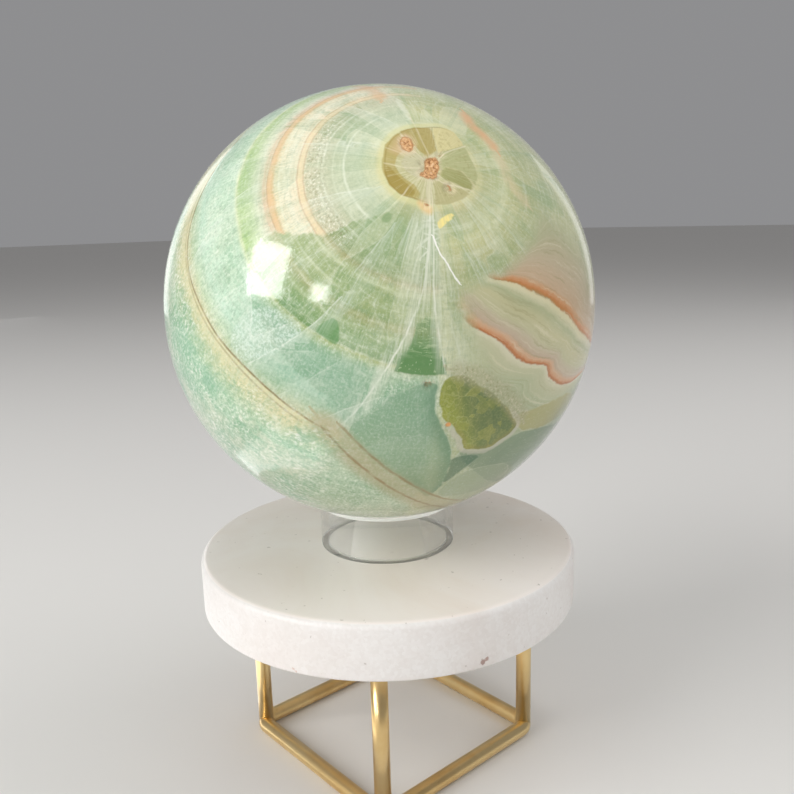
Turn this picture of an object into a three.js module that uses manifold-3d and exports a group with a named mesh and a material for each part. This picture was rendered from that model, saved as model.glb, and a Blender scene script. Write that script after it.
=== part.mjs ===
// A polished banded-calcite sphere on its display stand.
// The sphere sits in a short clear acrylic ring, the ring stands on a thick white marble disc,
// and the disc rests on an open cube frame of brass-coloured round rod: two bent squares and four posts.
// Millimetres, +Z up. The origin is on the table, under the centre of the stand, and the frame's sides
// run along X and Y.
import * as THREE from "three";
import { mergeGeometries, mergeVertices } from "three/addons/utils/BufferGeometryUtils.js";
import Module from "manifold-3d";

const wasm = await Module();
wasm.setup();

// Driving dimensions
const sphereDiameter = 164;
const ringOuterDiameter = 54.5;
const ringWall = 3;
const ringHeight = 17.5;
const ringEdgeChamfer = 0.35;
const discDiameter = 152;
const discThickness = 21;
const discTopEdgeRadius = 2.4;
const discBottomEdgeRadius = 1.2;
const frameHeight = 68;
const frameWidth = 89.5;
const rodDiameter = 6.3;
const cornerBendRadius = 6; // on the rod's centreline

// Clearances between pieces that touch: a cut joint, and the sphere on the ring's lip
const jointGap = 0.3;
const sphereSeatGap = 0.3;

// How finely the round forms are faceted
const sphereMeridians = 64;
const sphereParallels = 32;
const discFacets = 96;
const ringFacets = 72;
const rodFacets = 16;
const bendFacets = 6;
const topEdgeFacets = 4;
const bottomEdgeFacets = 3;

// Sizes and heights that follow from them
const sphereRadius = sphereDiameter / 2;
const ringOuterRadius = ringOuterDiameter / 2;
const ringInnerRadius = ringOuterRadius - ringWall;
const discRadius = discDiameter / 2;
const rodRadius = rodDiameter / 2;
const rodCircleFit = Math.cos(Math.PI / rodFacets); // a facet's middle is this share of the corner's radius
const rodCornerRadius = rodRadius / rodCircleFit; // so that the flats lie at the rod's true radius
const halfSide = frameWidth / 2 - rodRadius;
const bendCentre = halfSide - cornerBendRadius;
const postOffset = bendCentre + cornerBendRadius * Math.SQRT1_2; // the middle of a corner's bend
const lowerSquareZ = rodRadius;
const upperSquareZ = frameHeight - rodRadius;
const discBottomZ = frameHeight;
const discTopZ = discBottomZ + discThickness;
const ringTopZ = discTopZ + ringHeight;
const lipRadius = ringInnerRadius + ringEdgeChamfer;
const sphereCentreZ = ringTopZ + Math.sqrt((sphereRadius + sphereSeatGap) ** 2 - lipRadius ** 2);

// Finishes
const calcite = new THREE.MeshStandardMaterial({ color: 0xa9c7a0, roughness: 0.12, metalness: 0 });
const acrylic = new THREE.MeshStandardMaterial({
  color: 0xe6eeec, roughness: 0.05, metalness: 0, transparent: true, opacity: 0.3,
});
const marble = new THREE.MeshStandardMaterial({ color: 0xe9e4dc, roughness: 0.35, metalness: 0 });
const brass = new THREE.MeshStandardMaterial({ color: 0xc79c4a, roughness: 0.3, metalness: 1 });

// A named piece of the object.
function piece(name, geometry, material) {
  const mesh = new THREE.Mesh(geometry, material);
  mesh.name = name;
  return mesh;
}

// A geometry with only positions, and one vertex at each corner.
function welded(geometry) {
  const bare = geometry.clone();
  bare.deleteAttribute("normal");
  bare.deleteAttribute("uv");
  return mergeVertices(bare, 1e-3);
}

// A closed geometry as a solid that can be cut.
function solidFrom(geometry) {
  const merged = welded(geometry);
  return new wasm.Manifold(new wasm.Mesh({
    numProp: 3,
    vertProperties: merged.attributes.position.array,
    triVerts: new Uint32Array(merged.index.array),
  }));
}

// A cut solid as a geometry again.
function geometryFrom(solid) {
  const mesh = solid.getMesh();
  const geometry = new THREE.BufferGeometry();
  geometry.setAttribute("position", new THREE.BufferAttribute(mesh.vertProperties, 3));
  geometry.setIndex(new THREE.BufferAttribute(mesh.triVerts, 1));
  return geometry;
}

// Points on a quarter round from angle `from` to `to`, about a centre in the profile's plane.
function arcPoints(centreX, centreY, radius, from, to, facets) {
  const arc = new THREE.EllipseCurve(centreX, centreY, radius, radius, from, to, to < from);
  return arc.getPoints(facets);
}

// A profile of (radius, height) points turned about the Z axis.
function turned(profile, facets) {
  return new THREE.LatheGeometry(profile, facets).rotateX(Math.PI / 2);
}

function buildSphere() {
  const ball = new THREE.SphereGeometry(sphereRadius, sphereMeridians, sphereParallels);
  ball.rotateX(Math.PI / 2);
  const sphere = piece("sphere", ball, calcite);
  sphere.position.z = sphereCentreZ;
  return sphere;
}

// The cradle: a short length of clear tube with its edges just broken.
function buildCradleRing() {
  const chamfer = ringEdgeChamfer;
  const corner = (radius, height) => new THREE.Vector2(radius, height);
  const profile = [
    corner(ringInnerRadius + chamfer, 0),
    corner(ringOuterRadius - chamfer, 0),
    corner(ringOuterRadius, chamfer),
    corner(ringOuterRadius, ringHeight - chamfer),
    corner(ringOuterRadius - chamfer, ringHeight),
    corner(ringInnerRadius + chamfer, ringHeight),
    corner(ringInnerRadius, ringHeight - chamfer),
    corner(ringInnerRadius, chamfer),
    corner(ringInnerRadius + chamfer, 0),
  ];
  const ring = piece("cradle_ring", turned(profile, ringFacets), acrylic);
  ring.position.z = discTopZ;
  return ring;
}

// The marble disc, with a softer edge above than below.
function buildMarbleDisc() {
  const above = discTopEdgeRadius;
  const below = discBottomEdgeRadius;
  const profile = [
    new THREE.Vector2(0, 0),
    ...arcPoints(discRadius - below, below, below, -Math.PI / 2, 0, bottomEdgeFacets),
    ...arcPoints(discRadius - above, discThickness - above, above, 0, Math.PI / 2, topEdgeFacets),
    new THREE.Vector2(0, discThickness),
  ];
  const disc = piece("marble_disc", turned(profile, discFacets), marble);
  disc.position.z = discBottomZ;
  return disc;
}

// A square of round rod with bent corners, lying flat about its own centre: straight lengths and quarter
// bends whose ends share their corners. It has a flat facet above and below, grown all round by `growth`.
function bentSquare(growth) {
  const radius = rodCornerRadius + growth;
  const halfFacet = Math.PI / rodFacets;
  const straight = new THREE.CylinderGeometry(
    radius, radius, 2 * bendCentre, rodFacets, 1, true, halfFacet, 2 * Math.PI,
  );
  straight.translate(halfSide, 0, 0);
  const section = [];
  for (let i = 0; i <= rodFacets; i += 1) {
    const angle = halfFacet + (2 * Math.PI * i) / rodFacets;
    section.push(new THREE.Vector2(
      cornerBendRadius + radius * Math.cos(angle), radius * Math.sin(angle),
    ));
  }
  // LatheGeometry starts its turn at +Z, and after rotateX that is -Y, so a start of a quarter turn is +X
  const bend = new THREE.LatheGeometry(section, bendFacets, Math.PI / 2, Math.PI / 2);
  bend.rotateX(Math.PI / 2);
  bend.translate(bendCentre, bendCentre, 0);
  const sides = [];
  for (let quarter = 0; quarter < 4; quarter += 1) {
    sides.push(straight.clone().rotateZ((quarter * Math.PI) / 2));
    sides.push(bend.clone().rotateZ((quarter * Math.PI) / 2));
  }
  return welded(mergeGeometries(sides));
}

function buildSquare(name, height) {
  const square = piece(name, bentSquare(0), brass);
  square.position.z = height;
  return square;
}

// One upright, its two ends coped to sit on the bends of the squares.
function copedPost() {
  const length = upperSquareZ - lowerSquareZ;
  const rod = new THREE.CylinderGeometry(rodCornerRadius, rodCornerRadius, length, rodFacets);
  rod.rotateX(Math.PI / 2);
  rod.translate(postOffset, postOffset, (lowerSquareZ + upperSquareZ) / 2);
  const cutter = bentSquare(jointGap);
  const cut = solidFrom(rod)
    .subtract(solidFrom(cutter.clone().translate(0, 0, lowerSquareZ)))
    .subtract(solidFrom(cutter.clone().translate(0, 0, upperSquareZ)));
  return geometryFrom(cut);
}

function buildPosts() {
  const post = copedPost();
  const posts = new THREE.Group();
  for (let corner = 0; corner < 4; corner += 1) {
    const upright = piece(`post_${corner + 1}`, post.clone(), brass);
    upright.rotation.z = (corner * Math.PI) / 2;
    posts.add(upright);
  }
  return posts;
}

const stand = new THREE.Group();
stand.add(
  buildSquare("lower_square", lowerSquareZ),
  buildPosts(),
  buildSquare("upper_square", upperSquareZ),
  buildMarbleDisc(),
  buildCradleRing(),
  buildSphere(),
);

export default stand;
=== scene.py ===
# %% [markdown]
# # A banded calcite sphere on its stand
# A polished stone ball sits in a short clear ring, the ring stands on a marble disc, and the disc rests on
# a cube of brass-coloured rod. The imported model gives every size, so this lesson reads its boxes and then
# makes a finer skin for each piece, with a material that shows what it is made of.

import math

import bmesh
import bpy
import numpy as np
from mathutils import Matrix, Vector, noise


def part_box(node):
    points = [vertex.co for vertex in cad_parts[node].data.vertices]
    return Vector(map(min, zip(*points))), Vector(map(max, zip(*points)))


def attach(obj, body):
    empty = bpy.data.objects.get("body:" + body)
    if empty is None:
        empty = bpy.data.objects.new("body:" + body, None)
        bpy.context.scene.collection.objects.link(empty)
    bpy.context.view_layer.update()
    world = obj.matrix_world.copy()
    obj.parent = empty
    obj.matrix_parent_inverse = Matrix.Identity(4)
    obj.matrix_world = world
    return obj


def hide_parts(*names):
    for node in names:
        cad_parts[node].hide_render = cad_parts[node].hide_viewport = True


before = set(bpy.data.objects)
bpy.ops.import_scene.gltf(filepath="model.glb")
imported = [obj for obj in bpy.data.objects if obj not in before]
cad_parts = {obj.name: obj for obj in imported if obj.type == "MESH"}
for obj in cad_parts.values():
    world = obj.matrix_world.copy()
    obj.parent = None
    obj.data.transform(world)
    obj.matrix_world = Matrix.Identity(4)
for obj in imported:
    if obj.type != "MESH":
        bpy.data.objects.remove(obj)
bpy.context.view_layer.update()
MM = 0.001

# %% [markdown]
# ## The camera
# The camera's place was worked out from the outlines of the sphere, the disc and the rods. A camera looks
# along its own -Z, so its matrix holds the picture's right, up and backward directions as columns.

# %% Set the camera
PICTURE = 794
FOCAL_PIXELS = 825
camera_data = bpy.data.cameras.new("camera")
camera_data.sensor_width = 36
camera_data.lens = FOCAL_PIXELS * camera_data.sensor_width / PICTURE
camera_data.clip_start = 0.01
camera = bpy.data.objects.new("camera", camera_data)
bpy.context.collection.objects.link(camera)
bpy.context.scene.camera = camera

camera_place = Vector((0.24782, -0.20884, 0.21816))
look = Vector((-0.73692, 0.64269, -0.20954))
picture_right = Vector((0.66146, 0.74948, -0.02747))
picture_up = picture_right.cross(look)
turn = Matrix((picture_right, picture_up, -look)).transposed()
camera.matrix_world = Matrix.Translation(camera_place) @ turn.to_4x4()
print("lens", round(camera_data.lens, 2), "mm")

# %% [markdown]
# ## Sizes
# Every piece is placed by the box of the CAD node that it stands for. Only edge roundings and the rod's
# bend, which a box can't tell, are written here.

# %% Read the sizes
sphere_low, sphere_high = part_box("sphere")
SPHERE_RADIUS = (sphere_high.x - sphere_low.x) / 2
SPHERE_CENTRE = (sphere_low + sphere_high) / 2

ring_low, ring_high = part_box("cradle_ring")
RING_OUTER = ring_high.x
RING_WALL = 3 * MM
RING_EDGE = 0.35 * MM

disc_low, disc_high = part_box("marble_disc")
DISC_RADIUS = disc_high.x

lower_low, lower_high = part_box("lower_square")
upper_low, upper_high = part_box("upper_square")
ROD_RADIUS = (lower_high.z - lower_low.z) / 2
HALF_SIDE = lower_high.x - ROD_RADIUS
BEND_RADIUS = 6 * MM
BEND_CENTRE = HALF_SIDE - BEND_RADIUS
POST_OFFSET = BEND_CENTRE + BEND_RADIUS * math.sqrt(0.5)
print("sphere", round(SPHERE_RADIUS, 4), "disc", round(DISC_RADIUS, 4), "rod", round(ROD_RADIUS, 5))

# %% [markdown]
# ## From bmesh to object
# A bmesh is a mesh in the making. When it is done, doubled vertices are merged, its faces are turned
# outwards, and it becomes an object that stands for its CAD node. The object stays at the origin and its
# place is in its vertices, so a pattern on Object coordinates stays put.

# %% Helpers that finish a piece
MERGE_DISTANCE = 0.002 * MM
SAME_LEVEL = 0.01 * MM


def finish_piece(mesh_in_making, name, node):
    """Turns a bmesh into a smooth object that replaces the CAD node and rides with it."""
    bmesh.ops.remove_doubles(mesh_in_making, verts=mesh_in_making.verts, dist=MERGE_DISTANCE)
    bmesh.ops.recalc_face_normals(mesh_in_making, faces=mesh_in_making.faces)
    mesh = bpy.data.meshes.new(name)
    mesh_in_making.to_mesh(mesh)
    mesh_in_making.free()
    for face in mesh.polygons:
        face.use_smooth = True
    piece = bpy.data.objects.new(name, mesh)
    bpy.context.collection.objects.link(piece)
    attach(piece, "root")
    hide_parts(node)
    print(name, len(mesh.polygons), "faces")
    return piece


def round_edges(mesh_in_making, edges, radius, segments):
    """Rounds the given edges with the bevel operator."""
    bmesh.ops.bevel(
        mesh_in_making, geom=edges, offset=radius, offset_type="OFFSET", affect="EDGES",
        segments=segments, profile=0.5, material=-1, clamp_overlap=True,
    )


# %% [markdown]
# ## The bent squares
# Each square of the frame is one rod bent round four corners. A circle is drawn at the middle of a side,
# extruded along the straight and spun a quarter turn at each corner, until it meets itself.

# %% Model the two squares
ROD_SIDES = 40
BEND_STEPS = 14


def drawn_on(rod, front, quarter):
    """Extrudes the rod's open end by half a straight, in the direction of a quarter turn."""
    ahead = Matrix.Rotation(quarter * math.pi / 2, 3, "Z") @ Vector((0, BEND_CENTRE, 0))
    grown = bmesh.ops.extrude_edge_only(rod, edges=front)["geom"]
    moved = [v for v in grown if isinstance(v, bmesh.types.BMVert)]
    bmesh.ops.translate(rod, vec=ahead, verts=moved)
    open_edges = [e for e in grown if isinstance(e, bmesh.types.BMEdge) and not e.is_manifold]
    return [e for e in open_edges if all(v in moved for v in e.verts)]


def bent_on(rod, front, quarter, height):
    """Spins the rod's open end a quarter turn round the centre of a bend."""
    centre = Matrix.Rotation(quarter * math.pi / 2, 3, "Z") @ Vector((BEND_CENTRE, BEND_CENTRE, 0))
    swept = bmesh.ops.spin(
        rod, geom=front, cent=(centre.x, centre.y, height), axis=(0, 0, 1),
        angle=math.pi / 2, steps=BEND_STEPS, use_duplicate=False,
    )["geom_last"]
    return [e for e in swept if isinstance(e, bmesh.types.BMEdge)]


def bent_square(height):
    """A square of round rod, lying flat at the given height."""
    rod = bmesh.new()
    section = bmesh.ops.create_circle(rod, cap_ends=False, segments=ROD_SIDES, radius=ROD_RADIUS)["verts"]
    stand_up = Matrix.Rotation(math.pi / 2, 4, "X")
    bmesh.ops.transform(rod, matrix=Matrix.Translation((HALF_SIDE, 0, height)) @ stand_up, verts=section)
    front = list(rod.edges)
    for corner in range(4):
        front = drawn_on(rod, front, corner)
        front = bent_on(rod, front, corner, height)
        front = drawn_on(rod, front, corner + 1)
    return rod


LOWER_LEVEL = (lower_low.z + lower_high.z) / 2
UPPER_LEVEL = (upper_low.z + upper_high.z) / 2
lower_square = finish_piece(bent_square(LOWER_LEVEL), "lower_square_rod", "lower_square")
upper_square = finish_piece(bent_square(UPPER_LEVEL), "upper_square_rod", "upper_square")

# %% [markdown]
# ## The posts
# A post is a straight rod whose ends are coped, cut to a saddle that sits on the bend of each square. Its
# cylinder runs from the middle of one square's rod to the middle of the other's, and then each end vertex
# is moved up or down onto the surface of the bent rod.

# %% Model the four posts
def bend_height(x, y):
    """How high the bent rod's surface is above its centreline, at a point seen from above."""
    across = math.hypot(x - BEND_CENTRE, y - BEND_CENTRE) - BEND_RADIUS
    return math.sqrt(max(ROD_RADIUS ** 2 - across ** 2, 0))


def coped_post(corner):
    """One upright between the two squares, at the given corner."""
    post = bmesh.new()
    bmesh.ops.create_cone(
        post, cap_ends=False, segments=ROD_SIDES, radius1=ROD_RADIUS, radius2=ROD_RADIUS,
        depth=UPPER_LEVEL - LOWER_LEVEL,
    )
    halfway = (LOWER_LEVEL + UPPER_LEVEL) / 2
    bmesh.ops.translate(post, vec=(POST_OFFSET, POST_OFFSET, halfway), verts=post.verts)
    for vertex in post.verts:
        lift = bend_height(vertex.co.x, vertex.co.y)
        vertex.co.z = LOWER_LEVEL + lift if vertex.co.z < halfway else UPPER_LEVEL - lift
    bmesh.ops.holes_fill(post, edges=[e for e in post.edges if e.is_boundary], sides=0)
    bmesh.ops.transform(post, matrix=Matrix.Rotation(corner * math.pi / 2, 4, "Z"), verts=post.verts)
    return post


posts = [
    finish_piece(coped_post(corner), f"post_{corner + 1}_rod", f"post_{corner + 1}")
    for corner in range(4)
]

# %% [markdown]
# ## The marble disc
# A thick disc cut from a slab, with its top edge rounded more than its lower one. The flat faces are inset
# a little, which keeps their shading flat up to the rounding.

# %% Model the disc
DISC_SEGMENTS = 256
TOP_EDGE = 2.4 * MM
LOWER_EDGE = 1.2 * MM
FLAT_INSET = 1 * MM
TOP_EDGE_STEPS = 8
LOWER_EDGE_STEPS = 5

disc_shape = bmesh.new()
bmesh.ops.create_cone(
    disc_shape, cap_ends=True, segments=DISC_SEGMENTS, radius1=DISC_RADIUS, radius2=DISC_RADIUS,
    depth=disc_high.z - disc_low.z,
)
bmesh.ops.translate(disc_shape, vec=(0, 0, (disc_low.z + disc_high.z) / 2), verts=disc_shape.verts)
disc_edges = ((disc_high.z, TOP_EDGE, TOP_EDGE_STEPS), (disc_low.z, LOWER_EDGE, LOWER_EDGE_STEPS))
for level, radius, steps in disc_edges:
    rim = [e for e in disc_shape.edges if all(abs(v.co.z - level) < SAME_LEVEL for v in e.verts)]
    round_edges(disc_shape, rim, radius, steps)
flats = [f for f in disc_shape.faces if len(f.verts) > 4]
bmesh.ops.inset_individual(disc_shape, faces=flats, thickness=FLAT_INSET)
disc = finish_piece(disc_shape, "marble_disc_slab", "marble_disc")

# %% [markdown]
# ## The clear ring
# A slice of acrylic tube. Its section is a small rectangle, spun a whole turn round the axis, and the four
# sharp rims are then broken with a tiny bevel, so that they catch the light as sawn and polished edges do.

# %% Model the ring
RING_STEPS = 192
RING_EDGE_STEPS = 3

ring_shape = bmesh.new()
section_corners = [
    ring_shape.verts.new((radius, 0, height))
    for radius, height in (
        (RING_OUTER - RING_WALL, ring_low.z), (RING_OUTER, ring_low.z),
        (RING_OUTER, ring_high.z), (RING_OUTER - RING_WALL, ring_high.z),
    )
]
section_edges = [
    ring_shape.edges.new((section_corners[i], section_corners[(i + 1) % 4])) for i in range(4)
]
bmesh.ops.spin(
    ring_shape, geom=section_corners + section_edges, cent=(0, 0, 0), axis=(0, 0, 1),
    angle=2 * math.pi, steps=RING_STEPS, use_merge=True, use_duplicate=False,
)
bmesh.ops.remove_doubles(ring_shape, verts=ring_shape.verts, dist=MERGE_DISTANCE)
rims = []
for edge in ring_shape.edges:
    first, second = (vertex.co for vertex in edge.verts)
    if abs(first.z - second.z) < SAME_LEVEL and abs(first.xy.length - second.xy.length) < SAME_LEVEL:
        rims.append(edge)
round_edges(ring_shape, rims, RING_EDGE, RING_EDGE_STEPS)
ring = finish_piece(ring_shape, "cradle_ring_tube", "cradle_ring")

# %% [markdown]
# ## The stone's own directions
# The stone grew in layers round a point that now shows as an eye on its upper right. All of its pattern is
# laid out from that eye: how far a point is from it, and on which bearing, from straight down the face.

# %% Name the stone's directions
EYE = Vector((0.7235, -0.3526, 0.5935)).normalized()
RIGHT_OF_EYE = Vector((0.5287, 0.8358, -0.1479))
RIGHT_OF_EYE = (RIGHT_OF_EYE - EYE * RIGHT_OF_EYE.dot(EYE)).normalized()
BELOW_EYE = RIGHT_OF_EYE.cross(EYE)


def stone_direction(bearing, distance):
    """The direction from the sphere's centre at that bearing and angle from the eye, in degrees."""
    turn, lean = math.radians(bearing), math.radians(distance)
    aside = BELOW_EYE * math.cos(turn) + RIGHT_OF_EYE * math.sin(turn)
    return EYE * math.cos(lean) + aside * math.sin(lean)


print("eye", [round(x, 3) for x in EYE])

# %% [markdown]
# ## The sphere
# An icosphere spreads its triangles evenly. Where the stone has open pits, in the crystals at its eye, the
# mesh is divided further and the surface is sunk by noise, so the pits are real hollows.

# %% Model the sphere
PITS = [  # bearing and distance from the eye and width, in degrees, and depth in millimetres
    (90, 0.2, 3.2, 0.9), (-141, 7.7, 2.2, 0.7), (43, 6.4, 1.5, 0.8), (147, 4.7, 1.0, 0.5),
    (-4, 9.6, 1.5, 0.5), (5, 47.8, 1.2, 0.9), (12, 57.9, 1.0, 0.4),
]
SPHERE_DIVISIONS = 7
PIT_OUTLINE_SCALE = 40
PIT_FLOOR_SCALE = 90
pit_middles = [stone_direction(bearing, distance) for bearing, distance, _, _ in PITS]


def near_a_pit(edge, reach):
    """Whether an edge starts within so many widths of a pit's middle."""
    return any(
        edge.verts[0].co.angle(middle) < math.radians(width * reach)
        for middle, (_, _, width, _) in zip(pit_middles, PITS)
    )


def pit_depth(outward):
    """How far the pits sink the surface in that direction, in millimetres."""
    sink = 0
    for middle, (_, _, width, deepest) in zip(pit_middles, PITS):
        away = math.degrees(outward.angle(middle))
        if away < width * 1.5:
            rough = noise.fractal(outward * PIT_FLOOR_SCALE, 0.8, 2.1, 4)
            hollow = 1 - away / (width * (1.0 + 0.6 * noise.noise(outward * PIT_OUTLINE_SCALE)))
            sink = max(sink, deepest * min(max(hollow, 0) * 2, 1) * (0.55 + 0.45 * rough))
    return sink


ball = bmesh.new()
bmesh.ops.create_icosphere(ball, subdivisions=SPHERE_DIVISIONS, radius=1)
for reach in (2.0, 1.6):
    near = [e for e in ball.edges if near_a_pit(e, reach)]
    bmesh.ops.subdivide_edges(ball, edges=near, cuts=1, use_grid_fill=True)
bmesh.ops.triangulate(ball, faces=[f for f in ball.faces if len(f.verts) > 3])
for vertex in ball.verts:
    outward = vertex.co.normalized()
    vertex.co = SPHERE_CENTRE + outward * (SPHERE_RADIUS - pit_depth(outward) * MM)
sphere = finish_piece(ball, "banded_sphere", "sphere")

# %% [markdown]
# ## Lines and patches on the ball
# The stone's cracks and coloured patches have places of their own. They are kept as numbers on the mesh:
# each vertex remembers how far it is from a line, or how deep inside an outline. Such distances change
# evenly from vertex to vertex, so the shader can draw edges on them far finer than the mesh.

# %% Helpers that measure from lines and outlines
FAR_AWAY = 999.0
NOT_ZERO = 0.000001  # keeps the middle itself from a division by zero

corners = np.empty(len(sphere.data.vertices) * 3)
sphere.data.vertices.foreach_get("co", corners)
directions = corners.reshape(-1, 3) - np.array(SPHERE_CENTRE)
directions /= np.linalg.norm(directions, axis=1)[:, None]


def flattened(places, middle):
    """Directions as flat x and y in degrees about a middle direction, like a map of the ball."""
    along = (BELOW_EYE - middle * BELOW_EYE.dot(middle)).normalized()
    view = np.array([along, middle.cross(along), middle])
    x, y, z = (np.array(places) @ view.T).T
    stretch = np.degrees(np.arccos(np.clip(z, -1, 1))) / np.maximum(np.hypot(x, y), NOT_ZERO)
    return np.stack([x * stretch, y * stretch], axis=1)


def softened(points, closed, rounds):
    """Cuts the corners of a bent line a few times, so that it curves."""
    for _ in range(rounds):
        after = np.roll(points, -1, axis=0)
        cut = np.stack([points * 0.75 + after * 0.25, points * 0.25 + after * 0.75], axis=1)
        cut = cut.reshape(-1, 2)
        points = cut if closed else np.vstack([points[:1], cut[:-2], points[-1:]])
    return points


def measure(line, closed=False, rounds=2):
    """For each vertex: its distance from a line in degrees, and 1 or -1 for the side of it."""
    places = [stone_direction(b, d) for b, d in line]
    middle = sum(places, Vector()).normalized()
    here = flattened(directions, middle)
    points = softened(flattened(places, middle), closed, rounds)
    ends = np.roll(points, -1, axis=0) if closed else points[1:]
    nearest = np.full(len(here), FAR_AWAY)
    side = np.ones(len(here))
    inside = np.zeros(len(here), bool)
    for start, end in zip(points, ends):
        step = end - start
        share = np.clip((here - start) @ step / (step @ step), 0, 1)
        away = here - start - share[:, None] * step
        length = np.hypot(away[:, 0], away[:, 1])
        closer = length < nearest
        nearest = np.where(closer, length, nearest)
        side = np.where(closer, np.sign(step[0] * away[:, 1] - step[1] * away[:, 0]), side)
        spans = (start[1] > here[:, 1]) != (end[1] > here[:, 1])
        reach = step[0] * (here[:, 1] - start[1]) / (step[1] if step[1] else 1) + start[0]
        inside ^= spans & (here[:, 0] < reach)
    return nearest, np.where(inside, 1, -1) if closed else side


def keep_patch(name, outline, rounds=2):
    """Stores how deep inside an outline each vertex is, in degrees; outside it is negative."""
    nearest, side = measure(outline, closed=True, rounds=rounds)
    kept = sphere.data.attributes.new(name, "FLOAT", "POINT")
    kept.data.foreach_set("value", nearest * side)


def keep_lines(name, marks):
    """Stores the offset to the side of the nearest line and its distance, in degrees, and its strength."""
    kept = np.full((len(directions), 3), FAR_AWAY)
    for line, strength in marks:
        nearest, side = measure(line)
        found = np.stack([nearest * side, nearest, np.full(len(nearest), strength)], axis=1)
        kept = np.where((nearest < kept[:, 1])[:, None], found, kept)
    stored = sphere.data.attributes.new(name, "FLOAT_VECTOR", "POINT")
    stored.data.foreach_set("vector", kept.ravel())


# %% [markdown]
# ## Shader maths in Python
# A material is a net of nodes. To keep its sums readable, `Wire` stands for one output socket and knows
# plus, minus, times and so on, and `Paint` makes any other node from its type, settings and inputs.

# %% Helpers for shader nodes
class Wire:
    """One output socket of a shader node, which can be used in sums with numbers and other wires."""

    def __init__(self, paint, socket):
        self.paint = paint
        self.socket = socket

    def math(self, operation, *values):
        """The result of a sum, a product or another operation on these values."""
        return self.paint.node("Math", {"operation": operation}, values)

    def __add__(self, other):
        return self.math("ADD", self, other)

    __radd__ = __add__

    def __mul__(self, other):
        return self.math("MULTIPLY", self, other)

    def __sub__(self, other):
        return self.math("SUBTRACT", self, other)

    def __rsub__(self, other):
        return self.math("SUBTRACT", other, self)

    def __truediv__(self, other):
        return self.math("DIVIDE", self, other)

    def __abs__(self):
        return self.math("ABSOLUTE", self)

    def sibling(self, name):
        """Another output of the same node."""
        return Wire(self.paint, self.socket.node.outputs[name])


class Paint:
    """A new material, and the ways to add nodes to it."""

    # a Mix node's sockets for colours share their names with others, so they are found by number
    MIX_FIRST = 6
    MIX_SECOND = 7
    MIX_RESULT = 2

    def __init__(self, name):
        self.material = bpy.data.materials.new(name)
        self.material.use_nodes = True
        self.tree = self.material.node_tree
        self.shader = self.tree.nodes["Principled BSDF"]

    def node(self, kind, settings=(), values=(), output=0):
        """Adds a node. Values go to its inputs in order, or by name or number when given as a dict."""
        made = self.tree.nodes.new("ShaderNode" + kind)
        for key, value in dict(settings).items():
            if key == "stops":
                self.set_stops(made.color_ramp, value)
            elif key == "curve":
                self.set_curve(made.mapping, value)
            else:
                setattr(made, key, value)
        given = values.items() if isinstance(values, dict) else enumerate(values)
        for key, value in given:
            self.feed(made.inputs[key], value)
        return Wire(self, made.outputs[output])

    def feed(self, socket, value):
        """Links a wire to a socket, or sets the socket's own value."""
        if isinstance(value, Wire):
            self.tree.links.new(value.socket, socket)
        else:
            socket.default_value = value

    def set_stops(self, ramp, stops):
        """Fills a colour ramp with (place, colour) stops."""
        while len(ramp.elements) < len(stops):
            ramp.elements.new(1)
        for element, (place, colour) in zip(ramp.elements, stops):
            element.position = place
            element.color = colour

    def set_curve(self, mapping, points):
        """Runs a float curve through points, smoothly."""
        curve = mapping.curves[0]
        while len(curve.points) < len(points):
            curve.points.new(1, 1)
        for point, place in zip(curve.points, points):
            point.location = place
            point.handle_type = "AUTO"
        mapping.update()

    def set(self, **values):
        """Sets the shader's sockets; in their names, a space is written as an underscore."""
        for key, value in values.items():
            self.feed(self.shader.inputs[key.replace("_", " ")], value)

    def mix(self, factor, first, second):
        """Mixes two colours: the first where the factor is 0, the second where it is 1."""
        values = {"Factor": factor, self.MIX_FIRST: first, self.MIX_SECOND: second}
        return self.node("Mix", {"data_type": "RGBA"}, values, self.MIX_RESULT)

    def rise(self, value, low, high):
        """0 below low, 1 above high, and a smooth step between."""
        ends = {"Value": value, "From Min": low, "From Max": high}
        return self.node("MapRange", {"interpolation_type": "SMOOTHSTEP"}, ends)

    def fall(self, value, low, high):
        """1 below low, 0 above high, and a smooth step between."""
        ends = {"Value": value, "From Min": low, "From Max": high, "To Min": 1, "To Max": 0}
        return self.node("MapRange", {"interpolation_type": "SMOOTHSTEP"}, ends)

    def noise(self, place, scale, detail=3, roughness=0.5, distortion=0):
        """Soft noise from 0 to 1, about 0.5 on average."""
        values = {
            "Vector": place, "Scale": scale, "Detail": detail,
            "Roughness": roughness, "Distortion": distortion,
        }
        return self.node("TexNoise", {}, values)

    def bump(self, height, distance, strength):
        """A bump from a height map; distance is its depth in metres."""
        return self.node("Bump", {}, {"Height": height, "Distance": distance, "Strength": strength})


def tint(hexadecimal, alpha=1):
    """A colour as it is seen on a screen, turned into the linear numbers that shaders use."""
    parts = [int(hexadecimal[i:i + 2], 16) / 255 for i in (0, 2, 4)]
    linear = [p / 12.92 if p <= 0.04045 else ((p + 0.055) / 1.055) ** 2.4 for p in parts]
    return (*linear, alpha)


# %% [markdown]
# ## The brass finish
# The rods are steel with a satin gold coat. A metal's colour is its reflection's tint, so the base colour
# is a warm gold; a fine grain and slightly duller, worn patches break up the shine.

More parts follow.
